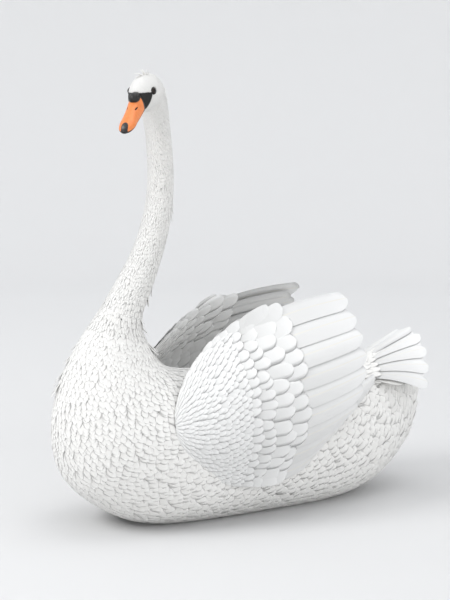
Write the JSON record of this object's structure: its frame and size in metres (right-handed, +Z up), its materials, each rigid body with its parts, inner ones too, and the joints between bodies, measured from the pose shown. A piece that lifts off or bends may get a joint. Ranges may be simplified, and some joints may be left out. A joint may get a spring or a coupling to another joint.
{
  "type": "mute swan",
  "caption": "Adult mute swan resting on its belly, neck upright and head turned to its left, wings arched over the back, tail cocked, feet tucked under.",
  "frame": {"origin": "on the floor, on the bird's midline, within the flat that the belly rests on", "axes": "+Z up, the bird faces -Y, and its left side is at +X"},
  "size_m": [0.4238, 0.8708, 0.9203],
  "materials": {
    "body_plumage": "soft matt white feathers, faintly warm",
    "wing_plumage": "smooth matt white vanes, slightly cooler than the body",
    "bill_horn": "satin orange horn",
    "black_skin": "satin black bare skin",
    "eye": "wet gloss, very dark brown"
  },
  "bodies": {
    "root": {"bill_knob": "black_skin", "bill_lower": "bill_horn", "bill_upper": "bill_horn", "eye_left": "eye", "eye_right": "eye", "flight_feathers_left": "wing_plumage", "flight_feathers_right": "wing_plumage", "foot_left": "black_skin", "foot_right": "black_skin", "head": "body_plumage", "leg_left": "black_skin", "leg_right": "black_skin", "neck_lower": "body_plumage", "neck_upper": "body_plumage", "primaries_left": "wing_plumage", "primaries_right": "wing_plumage", "tail": "wing_plumage", "trunk": "body_plumage", "wing_left": "wing_plumage", "wing_right": "wing_plumage"}
  },
  "joints": []
}
